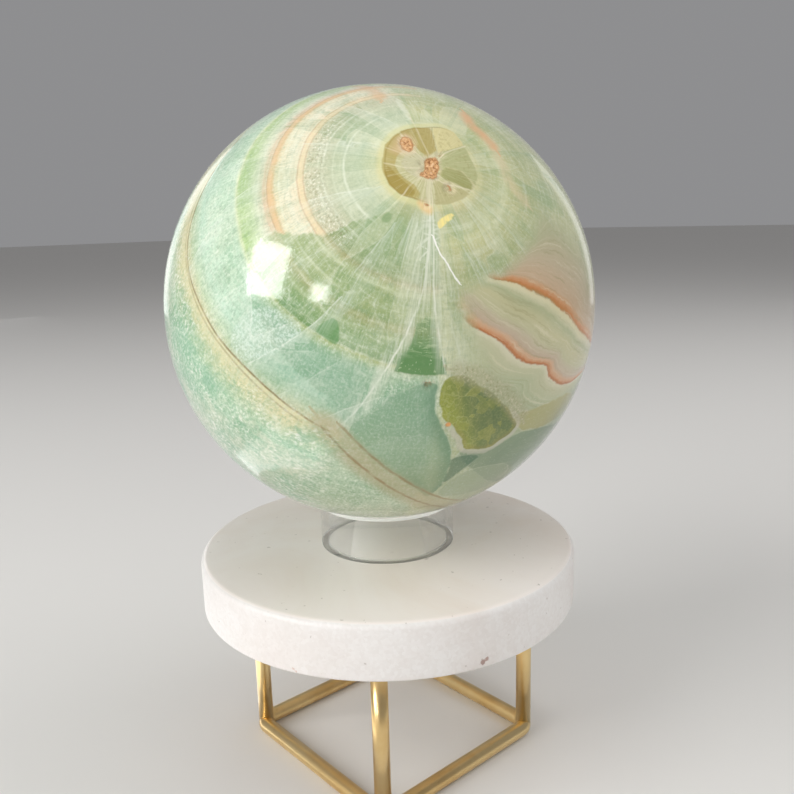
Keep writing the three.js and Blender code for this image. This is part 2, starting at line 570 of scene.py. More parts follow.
# %% Paint the rods
def paint_rods():
    """The gold coat of the frame."""
    paint = Paint("satin gold rod")
    place = paint.node("TexCoord", output="Object")
    patches = paint.noise(place, 60, 4)
    grain = paint.noise(place, 900, 3)
    warm = paint.mix(paint.rise(patches, 0.35, 0.7), tint("f0d59c"), tint("e4c284"))
    worn = paint.rise(paint.noise(place, 240, 4, 0.7), 0.64, 0.76)
    paint.set(
        Base_Color=paint.mix(worn * 0.25, warm, tint("a07c46")),
        Metallic=1.0,
        Roughness=0.27 + patches * 0.1 + worn * 0.12,
        Normal=paint.bump(grain, 0.00001, 0.5),
    )
    paint.shader.inputs["Coat Weight"].default_value = 0.3
    paint.shader.inputs["Coat Roughness"].default_value = 0.12
    return paint.material


rod_material = paint_rods()
for rod_piece in (lower_square, upper_square, *posts):
    rod_piece.data.materials.append(rod_material)

# %% [markdown]
# ## The marble
# White marble is a mass of tiny crystals. Its sawn and honed side shows them as a sugary grain, and its
# polished top is smoother, with faint clouds; the top is painted a lighter, pinker cream than the side,
# partly as painted light on it. A few rust-coloured flecks are set in the side.

# %% Paint the marble
RUST_FLECKS = [  # place, size and colour
    ((0.0730, -0.0211, 0.0705), 1.8 * MM, "9a7468"),
    ((0.0735, -0.0194, 0.0712), 1.6 * MM, "ac877a"),
    ((0.0305, -0.0696, 0.0702), 1.3 * MM, "c49a84"),
    ((0.0315, -0.0692, 0.0690), 1.1 * MM, "cfa894"),
]


def paint_marble():
    """White marble with a polished top and a grainy side."""
    paint = Paint("white marble")
    place = paint.node("TexCoord", output="Object")
    facing = paint.node("NewGeometry", output="Normal")
    up = paint.node("SeparateXYZ", {}, [facing], output="Z")
    on_top = paint.rise(up, 0.75, 0.95)
    crystals = paint.node("TexVoronoi", {}, {"Vector": place, "Scale": 900}, output="Color")
    crystal_tone = paint.node("SeparateColor", {}, [crystals])
    clouds = paint.noise(place, 14, 5, 0.6, 1.2)
    side = paint.mix(paint.rise(clouds, 0.35, 0.7), tint("f1eeeb"), tint("e8e1dc"))
    side = paint.mix(crystal_tone * 0.18, side, tint("cdc2b9"))
    # Painted light: the top is a lighter, pinker cream than the side, partly standing in for the light that
    # falls on it.
    top = paint.mix(paint.rise(clouds, 0.3, 0.75), tint("fbf3ee"), tint("f5e9e0"))
    specks = paint.rise(paint.noise(place, 420, 2, 0.4), 0.735, 0.78)
    colour = paint.mix(on_top, side, top)
    colour = paint.mix(specks * 0.5, colour, tint("a99d92"))
    ragged = paint.noise(place, 700, 3, 0.7) * 2.2 * MM
    for fleck, reach, stain in RUST_FLECKS:
        away = paint.node("VectorMath", {"operation": "DISTANCE"}, [place, fleck], output="Value") + ragged
        colour = paint.mix(paint.fall(away, reach, reach + 0.6 * MM) * 0.8, colour, tint(stain))
    grain = paint.noise(place, 1400, 2)
    paint.set(
        Base_Color=colour,
        Roughness=0.42 - on_top * 0.24 + grain * 0.08,
        Normal=paint.bump(grain * (1 - on_top * 0.8), 0.00012, 0.5),
    )
    return paint.material


disc.data.materials.append(paint_marble())
print(len(RUST_FLECKS), "rust flecks in the marble")

# %% [markdown]
# ## The acrylic
# Clear acrylic bends light a little less than window glass. Its walls are thin, so they are mostly
# transparent. The sawn upper rim is duller, and it has a painted white glow: emission stands in for the
# light that enters the tube and leaves it there. The foot shows as a grey line where the tube meets the
# marble.

# %% Paint the ring
def paint_acrylic():
    """Clear polished acrylic, with a painted white glow on its rim and a grey foot."""
    paint = Paint("clear acrylic")
    place = paint.node("TexCoord", output="Object")
    height = paint.node("SeparateXYZ", {}, [place], output="Z")
    rim = paint.rise(height, ring_high.z - 0.5 * MM, ring_high.z - 0.2 * MM)
    foot = paint.fall(height, ring_low.z + 0.4 * MM, ring_low.z + 0.7 * MM)
    scuffs = paint.rise(paint.noise(place, 300, 4, 0.7), 0.6, 0.8)
    clear = paint.mix(scuffs * 0.2, tint("f8fcfb"), tint("e9f0ee"))
    paint.set(
        Base_Color=paint.mix(foot, clear, tint("a8b0ad")),
        Roughness=0.03 + scuffs * 0.06 + rim * 0.25,
        Alpha=0.24 + rim * 0.3 + foot * 0.3,
        # painted glow: the rim emits a little white light, standing in for light gathered in the tube
        Emission_Color=paint.mix(rim, tint("000000"), tint("ffffff")),
        IOR=1.49,
    )
    paint.shader.inputs["Transmission Weight"].default_value = 1.0
    paint.shader.inputs["Emission Strength"].default_value = 0.5
    return paint.material


ring.data.materials.append(paint_acrylic())

# %% [markdown]
# ## The stone's material: its places
# The pattern is not wrapped on like a picture: it is worked out at each point from where that point is.
# Object coordinates are turned so that z points through the eye. From them come the two numbers that the
# whole pattern uses, the distance from the eye and the bearing round it, both in degrees.

# %% Lay out distance and bearing
NOT_ON_AXIS = 0.00001  # keeps the eye itself from a division by zero

stone = Paint("banded calcite")
place = stone.node("TexCoord", output="Object")


def stone_view(matrix):
    """Object coordinates turned by the matrix, from the sphere's centre and in sphere radii."""
    shift = -(matrix @ SPHERE_CENTRE) / SPHERE_RADIUS
    return stone.node("Mapping", {}, [place, shift, matrix.to_euler(), (1 / SPHERE_RADIUS,) * 3])


def tell(step):
    """Prints how far the stone's material has come."""
    print(step, len(stone.tree.nodes), "nodes")


def parts(vector):
    """The x, y and z of a vector."""
    split = stone.node("SeparateXYZ", {}, [vector])
    return [split.sibling(axis) for axis in "XYZ"]


from_eye = stone_view(Matrix((BELOW_EYE, RIGHT_OF_EYE, EYE)))
down, rightward, outward = parts(from_eye)
aside = stone.node("Math", {"operation": "SQRT"}, [down * down + rightward * rightward]) + NOT_ON_AXIS
true_distance = aside.math("ARCTAN2", aside, outward) * math.degrees(1)
bearing = down.math("ARCTAN2", rightward, down) * math.degrees(1)

sway = stone.noise(from_eye, 2.4, 2) - 0.5
ripple = stone.noise(from_eye, 17, 3) - 0.5
distance = true_distance + sway * 1.6 + ripple * 0.7
spread = stone.node("CombineXYZ", {}, [down / aside, rightward / aside, distance / 30])
tell("distance and bearing")

# %% [markdown]
# ## Drawing with the distances
# `lines` turns kept line distances into thin marks, `beside` fades away from a line on its left, and
# `inside` turns a kept depth into a mask. All are shifted a little by noise, so that nothing looks ruled.
# `trace` gives a bearing for every distance from the eye, so "left of this line" is a simple subtraction.
# `banded` is a colour ramp over a span of values; over a short span it is fine enough for hair-thin rings.

# %% Helpers that draw on the stone
HALF_TURN = 180
HAIR_FIRST = 14
HAIR_LAST = 46


def kept_line(name, wobble):
    """The nearest kept line's sideways offset, shifted by noise, its distance and its strength."""
    offset, away, strength = parts(stone.node("Attribute", {"attribute_name": name}, output="Vector"))
    return offset + ripple * wobble, away, strength


def lines(name, width, soft=0.3, wobble=0.3):
    """The strength of the nearest kept line, on the line, and 0 away from it."""
    offset, away, strength = kept_line(name, wobble)
    reach = width / 2 + soft + wobble * 0.3
    on_line = stone.fall(abs(offset), width / 2, width / 2 + soft)
    return on_line * stone.fall(away, reach, reach + 0.2) * strength


def beside(name, reach, wobble=0.3):
    """The strength of the nearest kept line, fading away from it on its left side only."""
    offset, away, strength = kept_line(name, wobble)
    return stone.rise(offset, -0.1, 0.2) * stone.fall(away, 0.0, reach) * strength


def depth(name, wobble=1.2):
    """How deep inside a kept outline a place is, in degrees."""
    return stone.node("Attribute", {"attribute_name": name}, output="Fac") + ripple * wobble


def inside(name, soft=0.4, wobble=1.2):
    """1 inside a kept outline and 0 outside, with a soft edge."""
    return stone.rise(depth(name, wobble), -soft / 2, soft / 2)


def trace(points):
    """The bearing of a line at each distance from the eye."""
    scaled = [(d / HALF_TURN, (b + HALF_TURN) / (2 * HALF_TURN)) for b, d in points]
    curve = stone.node("FloatCurve", {"curve": scaled}, {"Value": distance / HALF_TURN})
    return curve * (2 * HALF_TURN) - HALF_TURN


def banded(value, first, last, stops):
    """Colours over a span of values. A stop is a value, a colour and, where it matters, a strength."""
    scaled = [((at - first) / (last - first), tint(*colour)) for at, *colour in stops]
    return stone.node("ValToRGB", {"stops": scaled}, [(value - first) / (last - first)])


def hair_rings(colour, marks):
    """Narrow rings of one colour, each with its distance from the eye, half its width and its strength."""
    stops = []
    for at, half, strength in marks:
        stops += [(at - half, colour, 0), (at, colour, strength), (at + half, colour, 0)]
    return banded(distance, HAIR_FIRST, HAIR_LAST, stops)


# %% [markdown]
# ## The layers of growth
# Cut across, the layers are rings round the eye. On the left they are cream and tan, below they are
# muted green, and to the right they are pale sage. Each side has its own ramp of colours by distance,
# and soft masks on the bearing join the three.

# %% Colour the growth rings
cream_rings = banded(distance, 0, HALF_TURN, [
    (10, "ddd5a1"), (12, "d8dbb1"), (15, "c7d2b1"), (20, "c5cdab"), (24, "c9c8a7"), (26.6, "d5cfae"),
    (27.3, "e2d4ae"), (28.0, "ebd7ac"), (28.8, "ecdcb8"), (31, "efeacf"), (34.0, "ecdfb8"),
    (35.3, "e4c79c"), (36.6, "e6d0b0"), (38.4, "e2e6cc"), (40.3, "c9dbae"), (43.4, "b4d08e"),
    (44.3, "dbe6b4"), (45.2, "d6ecd4"), (48, "c0e0c4"), (56, "bedfc6"), (59.4, "c0d3ac"), (60.9, "cfd2a8"),
    (62.0, "cdc698"), (62.8, "d6cfa4"), (65.5, "cfcc93"), (69, "b4cba0"), (73, "9ec9a4"),
    (86, "a5c9ab"), (112, "aecdae"), (118, "d5d1a4"), (150, "bcd1a9"), (180, "abc295"),
])
muted_rings = banded(distance, 0, HALF_TURN, [
    (10, "d1ce9c"), (12, "b7bd8e"), (15, "a2b484"), (19, "a2b484"), (23, "9daf7d"), (26.4, "98a572"),
    (27.6, "afa874"), (28.6, "b5bd89"), (31, "9eaf77"), (33.6, "a4b37b"), (35.2, "95a870"),
    (36.2, "a8ab76"), (38.5, "98ad77"), (41.5, "82a269"), (43.8, "739659"), (44.4, "b4bd7d"),
    (45.4, "a8c098"), (47.5, "9cc29f"), (51, "8eb897"), (56, "95ba99"), (60, "9db897"),
    (64, "acbe98"), (70, "a2ba94"), (78, "a7c4a3"), (92, "b0c09f"), (104, "b2be9f"), (140, "a5c09d"),
    (180, "b0c89d"),
])
sage_rings = banded(distance, 0, HALF_TURN, [
    (10, "d6ce9b"), (12.5, "bec08e"), (16, "c2c794"), (18.4, "d0d19d"), (20, "c9c994"), (25, "b9bd8a"),
    (32, "c8cd9f"), (44, "d2d4a6"), (60, "c6cb9d"), (90, "cacb9f"), (150, "c1d6a8"), (180, "c8e1ae"),
])

fracture = trace([(-37, 0), (-37, 15), (-46, 21), (-53, 27), (-61, 32), (-66, 37), (-62, 44), (-40, 52),
                  (-17, 58), (-17, 72), (-30, 90), (-40, 110), (-40, 180)])
ragged = stone.noise(from_eye, 9, 3, 0.6) - 0.5
cream_side = stone.fall(bearing - fracture + ragged * 14, -1.5, 1.5)
behind = stone.rise(distance, 36, 80)
sage_back = stone.fall(bearing + ragged * behind * 30, -169 + behind * 8, -163 + behind * 55)
sage_side = stone.rise(bearing, 6, 10) + sage_back
skin = stone.mix(cream_side, muted_rings, cream_rings)
skin = stone.mix(sage_side, skin, sage_rings)
tell("growth rings")

# %% [markdown]
# ## Fibres, pulses and cells
# Calcite grows as fibres that point away from the eye, in pulses that leave thin rings, and later cracks
# cut it into cells that each turn the light a little differently. Noise stretched along the bearing or
# along the distance gives the first two, and Voronoi cells on the same stretched places give the third.
# Each pattern then lays a light colour where it is high and a dark one where it is low.

# %% Add fibres, pulses and cells
def stretched(round_scale, out_scale, shift=0.0):
    """The stone's places stretched for a pattern: scale round the eye, and scale away from it."""
    scale = (round_scale, round_scale, out_scale)
    return stone.node("VectorMath", {"operation": "MULTIPLY_ADD"}, [spread, scale, (shift,) * 3])


def cell_tones(places, scale, edge):
    """A random tone for each cell, and 1 along the cells' borders."""
    inputs = {"Vector": places, "Scale": scale}
    tone = stone.node("SeparateColor", {}, [stone.node("TexVoronoi", {}, inputs, output="Color")])
    borders = stone.node("TexVoronoi", {"feature": "DISTANCE_TO_EDGE"}, inputs)
    return tone, stone.fall(borders, edge * 0.3, edge)


def layer(factor, colour):
    """Lays a colour over the skin so far."""
    return stone.mix(factor, skin, tint(colour))


uneven = stone.node("CombineXYZ", {}, [sway * 0.5, ripple * 0.18, ripple * 0.12])
warped = stone.node("VectorMath", {"operation": "ADD"}, [from_eye, uneven])
fibres = stone.noise(stretched(26, 2.2), 1, 4, 0.7)
panels = stone.noise(stretched(5, 0.5, 3), 1, 3, 0.6)
pulses = stone.noise(stretched(0.9, 18, 1), 1, 4, 0.6)
stitches = stone.noise(stretched(9, 38, 5), 1, 3, 0.65)
threads = stone.noise(stretched(85, 26, 2), 1, 2, 0.6)
grit = stone.noise(from_eye, 105, 2, 0.6)
clouds = stone.noise(from_eye, 5, 5, 0.62, 0.6)
grains = stone.noise(from_eye, 95, 3, 0.6)
near_tone, near_border = cell_tones(stretched(1.7, 0.5), 3.4, 0.03)
far_tone, far_border = cell_tones(warped, 3.2, 0.025)

inner = stone.fall(distance, 43.8, 44.6)
cell_tone = far_tone + (near_tone - far_tone) * inner
cell_border = far_border + (near_border - far_border) * inner
further = stone.rise(distance, 6, 32) * (1 - stone.rise(bearing, 55, 90) * 0.5)
calm = 0.4 + stone.rise(distance, 14, 34) * 0.6
outer = stone.rise(distance, 43, 47)
PATTERNS = [  # a pattern, then the limits, strength and colour of its light places and of its dark ones
    (cell_tone, (0.62, 0.95, 0.14 + inner * 0.14, "e6eaca"), (0.08, 0.4, 0.26, "84a878")),
    (clouds, (0.5, 0.68, 0.26, "e0e8cc"), (0.3, 0.48, 0.34, "7ea67c")),
    (pulses, (0.52, 0.75, inner * 0.3, "eef0d6"), (0.28, 0.46, inner * 0.24, "8aa676")),
    (panels, (0.55, 0.72, 0.2, "e4e9cf"), (0.3, 0.44, 0.2, "86ab7c")),
    (fibres, (0.5, 0.74, 0.08 + further * 0.2, "f2f4de"), (0.28, 0.48, 0.24, "7f9f74")),
    (stitches, (0.52, 0.7, calm * 0.24, "f2f4e0"), (0.3, 0.46, calm * 0.22, "7c9c76")),
    (threads, (0.5, 0.72, further * (0.24 + outer * 0.12), "f0f5e8"),
     (0.28, 0.5, further * (0.24 + outer * 0.08), "75967a")),
    (grit, (0.52, 0.7, 0.12 + outer * 0.2, "f2f6ea"), (0.3, 0.48, 0.12 + outer * 0.14, "7a9c80")),
]
for pattern, light, dark in PATTERNS:
    low, high, strength, colour = light
    skin = layer(stone.rise(pattern, low, high) * strength, colour)
    low, high, strength, colour = dark
    skin = layer(stone.fall(pattern, low, high) * strength, colour)
skin = layer(cell_border * 0.1, "eff3e2")
tell("fibres and cells")

# %% [markdown]
# ## Thin pale rings and the granular zone
# Some growth lines are white and hair-thin, and two tan ones on the left have a pale heart; each set is one
# fine ramp. Between them the upper left has a zone of tiny crystals, seen as a grey and white grain that
# also roughens the polish.

# %% Draw the thin rings and the grain
patchy = stone.rise(stone.noise(from_eye, 14, 3, 0.6), 0.3, 0.6)
left_half = stone.fall(bearing, -44, -34) * stone.rise(bearing, -150, -132)
thin_rings = hair_rings("f0f4e0", (
    (18.2, 0.45, 0.8), (20.6, 0.35, 0.35), (22.8, 0.4, 0.6), (24.0, 0.35, 0.3), (29.2, 0.4, 0.35),
    (33.0, 0.4, 0.35), (44.6, 0.5, 0.35),
))
skin = stone.mix(thin_rings.sibling("Alpha") * left_half * (0.35 + patchy * 0.45), skin, thin_rings)
lower_half = stone.rise(bearing, -60, -50) * stone.fall(bearing, 12, 40)
broken = stone.rise(stone.noise(stretched(5, 6, 8), 1, 2), 0.4, 0.55)
low_rings = hair_rings("e2e8c4", (
    (15.5, 0.4, 0.25), (22.0, 0.45, 0.4), (26.4, 0.5, 0.35), (29.4, 0.5, 0.6), (33.2, 0.5, 0.5),
    (36.3, 0.45, 0.4), (38.8, 0.6, 0.45),
))
skin = stone.mix(low_rings.sibling("Alpha") * lower_half * broken * 0.5, skin, low_rings)
tan_rings = banded(distance, 26, 38.5, [
    (26.9, "c9a27c", 0), (27.2, "c9a27c", 0.4), (27.5, "f2dfb8", 0.5), (28.4, "f2dfb8", 0.5),
    (28.7, "c9a27c", 0.45), (29.0, "ecdcb8", 0), (34.0, "dcb27c", 0), (34.6, "dcb27c", 0.45),
    (35.1, "e6c698", 0.75), (35.7, "e3bf92", 0.7), (36.0, "bf9670", 0.5), (36.2, "d8bc9c", 0.1),
    (36.9, "d8bc9c", 0.35), (37.2, "d8bc9c", 0),
])
skin = stone.mix(tan_rings.sibling("Alpha") * cream_side * (0.5 + patchy * 0.5), skin, tan_rings)

granular = stone.rise(distance, 21, 24) * stone.fall(distance, 26.4, 27.4)
granular = granular * stone.fall(bearing, -46, -38) * stone.rise(bearing, -135, -118)
skin = layer(stone.fall(grains, 0.32, 0.46) * granular * 0.5, "8f8a68")
skin = layer(stone.rise(grains, 0.54, 0.66) * granular * 0.6, "f6f4e6")
tell("thin rings and grain")

# %% [markdown]
# ## The fan below the eye
# A column of white fibres drops from the eye and parts into two branches, with a dark green wedge between
# them. Two small green patches lie to its left.

# %% Draw the fan and its green wedge
keep_patch("green sliver", [(-29, 38.7), (-25.5, 40.9), (-23.8, 44.3), (-28, 44), (-33, 43.8), (-31, 41)])
skin = layer(inside("green sliver", 0.5, 0.5) * 0.75, "64965a")
keep_patch("green cell", [(-30, 14), (-37, 15), (-36, 17.4), (-31, 17)])
skin = layer(inside("green cell", 0.6, 1.0) * 0.6, "7c9c66")
keep_patch("wedge", [(3, 31), (-2, 38), (-7, 46), (-8, 50), (10, 50), (10, 45), (7, 38)])
keep_lines("fan left", [
    ([(2, 12), (1, 22), (0, 28), (-4, 37), (-8, 45), (-11, 52), (-13, 57), (-16, 62)], 1),
    ([(-2, 13), (-5, 22), (-7, 30)], 0.5),
    ([(-9, 14), (-11, 20)], 0.4),
])
keep_lines("fan right", [
    ([(4, 12), (4, 28), (7, 37), (10, 45)], 0.85),
    ([(9, 14), (11, 22), (13, 28)], 0.4),
    ([(11, 33), (14, 40), (16, 45)], 0.45),
])
wedge = stone.rise(depth("wedge", 0.8) + (fibres - 0.5) * 5, -0.1, 0.5)
wedge = wedge * stone.fall(distance, 45.1, 45.6)
skin = layer(wedge * (0.55 + stone.rise(distance, 36, 41) * 0.4), "5f8d52")
skin = layer(wedge * stone.rise(stitches, 0.5, 0.62) * stone.fall(distance, 38, 43) * 0.5, "c4d4a8")
skin = layer(wedge * stone.rise(grains, 0.6, 0.7) * 0.5, "cfe0b8")
frayed = stone.rise(stone.noise(stretched(40, 1.2), 1, 3, 0.7), 0.38, 0.6)
for branch in ("fan left", "fan right"):
    skin = layer(lines(branch, 0.5, 2.6, 1.5) * (0.15 + frayed * 0.85) * 0.55, "e8ecd8")
    skin = layer(lines(branch, 0.08, 0.3, 0.6) * (0.2 + patchy * 0.5), "f0f3e4")
tell("fan")

# %% [markdown]
# ## Cracks
# Healed cracks cross the layers as pale lines. Their places follow the real stone's boldest ones, as a
# bearing and a distance for each bend, then a strength. The stone is often paler on one side of a crack.

# %% Draw the cracks
CRACKS = [
    ([(-15, 13), (-17, 21)], 0.45), ([(-26, 16), (-29, 22), (-31, 29)], 0.5),
    ([(-60, 12), (-66, 17), (-72, 27)], 0.6), ([(-108, 17), (-107, 29)], 0.55),
    ([(-118, 12), (-112, 17), (-110, 21)], 0.5), ([(-150, 15), (-140, 28)], 0.5),
    ([(-30.3, 34.6), (-33.9, 43.9), (-39, 52), (-43.5, 60.1)], 0.8), ([(-30, 48), (-38, 52)], 0.4),
    ([(-40, 46), (-47, 55)], 0.7), ([(-47, 55), (-51, 50), (-60, 46)], 0.7),
    ([(-58, 45), (-60, 52), (-61, 61)], 0.45),
    ([(-89, 40), (-87, 46), (-82, 52), (-77, 61), (-74, 66)], 0.75),
    ([(-103, 44), (-101, 53), (-97, 60)], 0.45),
    ([(-44, 22), (-50, 34), (-55, 44)], 0.3),
    ([(-62, 66), (-66, 74), (-76, 84)], 0.4), ([(-22, 47), (-30, 58), (-36, 66)], 0.35),
    ([(-8, 52), (-16, 57), (-22, 63)], 0.5), ([(5, 60), (-6, 64), (-14, 70)], 0.45),
    ([(26, 13), (29, 21), (33, 29)], 0.4), ([(44, 12), (41, 22)], 0.45),
    ([(62, 12), (60, 22), (57, 30)], 0.4), ([(20, 13), (25, 21), (28, 30)], 0.4),
    ([(80, 33), (75, 44), (66, 52)], 0.35), ([(88, 28), (82, 34), (76, 46)], 0.25),
    ([(170, 13), (-168, 24), (-160, 34)], 0.35), ([(152, 14), (-176, 20)], 0.3),
    ([(-30, 110), (-60, 118), (-90, 116)], 0.4), ([(60, 120), (90, 105), (120, 98)], 0.4),
    ([(150, 70), (176, 92), (-170, 112)], 0.4),
]
sector = stone.rise(bearing, -60, -44) * stone.fall(bearing, -16, -8)
skin = layer(sector * stone.rise(distance, 45, 47) * stone.fall(distance, 58, 66) * 0.42, "7fa88c")
below_veins = stone.rise(bearing, 7, 14) * stone.fall(bearing, 36, 50) * stone.rise(distance, 20, 36)
skin = layer(below_veins * 0.25, "92a380")

keep_patch("haze", [
    (-34, 44), (-38, 52), (-43.5, 60.1), (-51, 61), (-53, 54), (-50, 47), (-44, 45),
])
skin = layer(inside("haze", 1.0, 1.5) * (0.1 + stone.rise(grit, 0.45, 0.6) * 0.35), "e6f2ea")
keep_patch("pale plate", [(170, 25), (156, 28), (143, 16), (146, 14.4), (160, 14.4), (168, 13.4)])
skin = layer(inside("pale plate", 0.5, 1.0) * 0.3, "eeecd0")
keep_patch("pale ray", [(-168, 26), (-164, 26), (-164, 17), (-167, 12.4)])
skin = layer(inside("pale ray", 0.5, 1.0) * 0.5, "eef0dc")

keep_lines("cracks", CRACKS)
skin = layer(beside("cracks", 5) * (0.12 + frayed * 0.3), "e8f0e2")
skin = layer(lines("cracks", 0.05, 0.24, 0.6) * (0.12 + patchy * 0.5), "f2f5ea")
tell("cracks")

# %% [markdown]
# ## The rust veins on the right
# Two rust-coloured veins run down the right side. A value that is 0 on the lower vein and 1 on the upper
# one lays out everything beside them too, and thin lines of noise follow the same value. Three fainter
# streaks, rust and yellow, cross the layers above the eye.

# %% Colour the veins
upper_vein = trace([
    (32, 22), (35, 27.6), (40, 29), (45, 31), (50, 34.5), (53, 37), (56, 40), (58, 43), (60, 46),
    (62, 50), (64, 55), (68, 62), (74, 75), (80, 110), (90, 180),
])
lower_vein = trace([
    (6, 22), (14, 31), (18, 34), (21, 36), (24, 37.3), (28, 39.5), (31, 41.5), (33, 44), (37, 48),
    (42, 51), (45, 53), (45.5, 56), (47, 58.5), (50, 62), (55, 66), (60, 69), (66, 74), (72, 110),
    (80, 180),
])
torn = stone.noise(from_eye, 48, 3, 0.6) - 0.5
between = (bearing - lower_vein) / (upper_vein - lower_vein) + ripple * 0.08 + torn * 0.07
VEIN_STOPS = [  # how far from the lower vein (0) to the upper one (1), and the colour there
    (-1.0, "aab692"), (-0.5, "b9c09b"), (-0.16, "c9c8a4"), (-0.045, "dfd9be"), (-0.014, "b4662f"),
    (0.016, "c4733a"), (0.04, "d6986c"), (0.1, "d8ac8a"), (0.17, "c8b099"), (0.3, "cabda2"),
    (0.4, "c8c49e"), (0.6, "cbc69c"), (0.78, "b8bc94"), (0.88, "dcd7b2"), (0.95, "e5d9b3"),
    (0.975, "b67c3e"), (1.01, "cc7c40"), (1.07, "d69a6a"), (1.16, "ceae90"), (1.5, "c8b69a"),
    (2.0, "bab894"), (3.0, "b4ba92"),
]
vein_tones = banded(between, VEIN_STOPS[0][0], VEIN_STOPS[-1][0], VEIN_STOPS)
veined = stone.rise(distance + ragged * 4, 25, 30) * stone.rise(bearing + ragged * 12, 13, 26)
veined = veined * stone.fall(bearing, 76, 96)
skin = stone.mix(veined * 0.9, skin, vein_tones)
along_veins = stone.node("CombineXYZ", {}, [between * 16, distance / 14, 0.0])
hair_lines = stone.noise(along_veins, 1, 4, 0.65)
skin = layer(veined * stone.rise(hair_lines, 0.52, 0.72) * 0.45, "e6dfc2")
skin = layer(veined * stone.fall(hair_lines, 0.3, 0.46) * 0.4, "99946a")

keep_lines("rust streaks", [
    ([(155, 25), (150, 22), (144, 20.9), (138, 20.7), (131, 20.5), (127, 20.3)], 0.9),
    ([(-158, 27), (-160, 33), (-158, 40)], 0.6),
])
keep_lines("yellow streak", [
    ([(127, 20.3), (118, 19.4), (108, 19.2), (99, 19.1), (91, 20.9), (86, 23.8)], 0.6),
])
skin = layer(lines("yellow streak", 0.6, 2.2, 1.4) * (0.4 + patchy * 0.5), "e4d2aa")
skin = layer(lines("rust streaks", 0.4, 2.6, 1.6) * (0.7 + patchy * 0.3), "e6b88a")
tell("veins")

# %% [markdown]
# ## The eye
# The first crystals filled the eye: gold and olive wedges between cracks, with a pale yellow rim round
# them all.

# %% Colour the eye
keep_patch("eye", [
    (-88, 9.7), (-107, 10), (-124, 10.6), (-139, 11.1), (-153, 11.7), (-163, 11.9), (-174, 12.1),
    (175, 13), (164, 14), (154, 14), (146, 13.1), (134, 12), (120, 10.8), (108, 11.1), (96, 11.1),
    (83, 11), (67, 10.7), (51, 9.6), (37, 8.7), (22, 9), (10, 9.3), (-8, 9.1), (-20, 9), (-34, 9.8),
    (-54, 10), (-70, 10),
])
eye_depth = depth("eye", 0.5)
left_rim = stone.fall(bearing, -20, 30) + stone.rise(bearing, 150, 170)
skin = layer(stone.fall(abs(eye_depth + 0.7), 0.1, 1.4) * (0.2 + left_rim * 0.4), "e2dea6")
ground = stone.mix(stone.rise(fibres, 0.35, 0.65), tint("c2bf8e"), tint("d6d2a8"))
skin = stone.mix(stone.rise(eye_depth, -0.1, 0.25), skin, ground)
EYE_WEDGES = {
    "top gold": ([
        (-148, 11.8), (-168, 12.2), (176, 12.4), (171, 8.8), (160, 5.4), (-176, 2.9), (-157, 4.2),
        (-151, 8),
    ], "b3a25e"),
    "left gold": ([
        (-111, 10.3), (-121, 11), (-138, 11.2), (-148, 11.6), (-135, 8.7), (-123, 6.8), (-107, 7.3),
        (-86, 7.4), (-60, 6.6), (-32, 5.9), (-16, 7.4), (-16, 9.1), (-37, 9.8), (-57, 10.2), (-75, 10.2),
        (-95, 10.2),
    ], "b8a864"),
    "brown wedge": ([
        (-90, 9), (-67, 7.5), (-47, 6.8), (-26, 7.1), (-19, 8.6), (-38, 9.6), (-58, 10), (-75, 10),
    ], "a8944c"),
    "yellow wedge": ([
        (174, 12.4), (161, 14.2), (153, 14.2), (136, 12.4), (139, 8.8), (155, 5), (167, 7.7),
    ], "dcd29a"),
    "olive wedge": ([
        (151, 5.1), (139, 8.8), (135, 12.2), (111, 10.8), (93, 11.2), (78, 10.8), (95, 7.6), (104, 3.8),
        (71, 2.2),
    ], "b4b884"),
    "dark olive wedge": ([
        (59, 2.4), (100, 3.8), (93, 7.4), (75, 10.3), (67, 10.3), (62, 7), (51, 4.6),
    ], "a0a266"),
    "tan wedge": ([(20, 3.3), (46, 5), (55, 7.5), (64, 10.6), (50, 10.2), (23, 9.5), (8, 9.3)], "beb886"),
    "cream wedge": ([
        (-122, 6), (-142, 4.7), (-160, 2.5), (-39, 2.4), (-32, 4), (-70, 5.3), (-91, 6.2),
    ], "ccc8a4"),
}
for name, (outline, colour) in EYE_WEDGES.items():
    keep_patch(name, outline, rounds=0)
    skin = layer(inside(name, 0.5, 0.8) * (0.65 + clouds * 0.4), colour)
skin = layer(stone.fall(abs(eye_depth - 0.15), 0.05, 0.3) * left_rim * 0.35, "947f3b")
keep_lines("eye cracks", [
    ([(175, 2.8), (-171, 7.1), (-168, 11.6), (-167, 17)], 0.5),
    ([(-153, 2.3), (-142, 5), (-130, 6.5)], 0.7),
    ([(29, 3.3), (42, 5.1), (62, 8.1), (67, 10.7)], 0.7),
    ([(138, 3.3), (144, 6.2), (134, 12)], 0.7),
    ([(-32, 3.8), (-39, 6.6), (-35, 9.7)], 0.6),
    ([(-72, 1.7), (-79, 5), (-91, 9.6)], 0.6),
    ([(-118, 6.4), (-116, 10)], 0.4),
])
keep_lines("wide eye crack", [([(0, 3.3), (0, 6.6), (3, 9.5)], 0.7)])
eye_light = stone.rise(eye_depth, 0, 0.5)
skin = layer(stone.rise(fibres, 0.5, 0.7) * eye_light * 0.35, "e4deb4")
skin = layer(stone.fall(stitches, 0.34, 0.5) * eye_light * 0.25, "978a4e")
skin = layer(lines("eye cracks", 0.06, 0.3, 0.5) * (0.35 + patchy * 0.5), "ece4c4")
skin = layer(lines("wide eye crack", 0.5, 0.9, 0.8) * (0.35 + frayed * 0.65), "e6e0c2")
keep_patch("pink haze", [(-113, 9.6), (-140, 10.6), (-158, 10.4), (-150, 6.5), (-128, 4.8), (-112, 6.4)])
